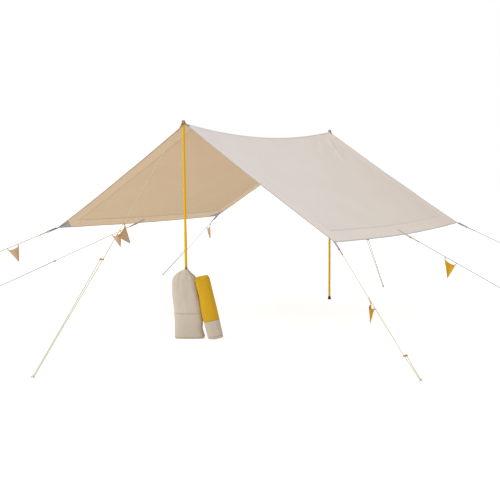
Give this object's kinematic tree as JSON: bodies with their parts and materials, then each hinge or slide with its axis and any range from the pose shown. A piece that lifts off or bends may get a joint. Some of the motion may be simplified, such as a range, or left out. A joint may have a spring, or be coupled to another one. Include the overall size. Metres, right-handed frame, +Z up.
{
  "type": "pitched camping tarp",
  "caption": "Rectangular canvas tarp pitched as an open gable on two poles, with guy lines, pegs, pennants and stuff bags.",
  "frame": {"origin": "ground level, under the middle of the whole pitch, pegs included", "axes": "+Z up, X across the ridge with the right wing at +X, +Y along the ridge from the near pole, where the bags stand, to the far pole"},
  "size_m": [7.8336, 6.5792, 2.1313],
  "materials": {
    "canopy": "matte sand cotton canvas with a tight plain weave",
    "pole": "satin mustard yellow coated tube",
    "rubber": "matte black",
    "webbing": "grey woven webbing",
    "cord": "ivory braided cord",
    "runner": "satin orange brown",
    "peg": "bare drawn rod",
    "pennant": "mustard cotton",
    "canvas": "unbleached cotton canvas",
    "bag": "mustard cotton canvas with a sand panel at its foot"
  },
  "bodies": {
    "root": {"right_wing": "canopy", "left_wing": "canopy", "ridge_seam": "canopy", "near_pole_foot": "rubber", "near_pole_lower": "pole", "near_pole_upper": "pole", "far_pole_foot": "rubber", "far_pole_lower": "pole", "far_pole_upper": "pole", "near_ridge_strap": "webbing", "near_ridge_guy": "cord", "near_ridge_runner": "runner", "near_ridge_peg": "peg", "near_ridge_pennant": "pennant", "far_ridge_strap": "webbing", "far_ridge_guy": "cord", "far_ridge_runner": "runner", "far_ridge_peg": "peg", "far_ridge_pennant": "pennant", "near_right_strap": "webbing", "near_right_guy": "cord", "near_right_runner": "runner", "near_right_peg": "peg", "near_right_pennant": "pennant", "right_middle_strap": "webbing", "right_middle_guy": "cord", "right_middle_runner": "runner", "right_middle_peg": "peg", "right_middle_pennant": "pennant", "far_right_strap": "webbing", "far_right_guy": "cord", "far_right_runner": "runner", "far_right_peg": "peg", "far_right_pennant": "pennant", "near_left_strap": "webbing", "near_left_guy": "cord", "near_left_runner": "runner", "near_left_peg": "peg", "near_left_pennant": "pennant", "left_middle_strap": "webbing", "left_middle_guy": "cord", "left_middle_runner": "runner", "left_middle_peg": "peg", "left_middle_pennant": "pennant", "far_left_strap": "webbing", "far_left_guy": "cord", "far_left_runner": "runner", "far_left_peg": "peg", "far_left_pennant": "pennant", "canvas_bag": "canvas", "pole_bag": "bag"}
  },
  "joints": []
}
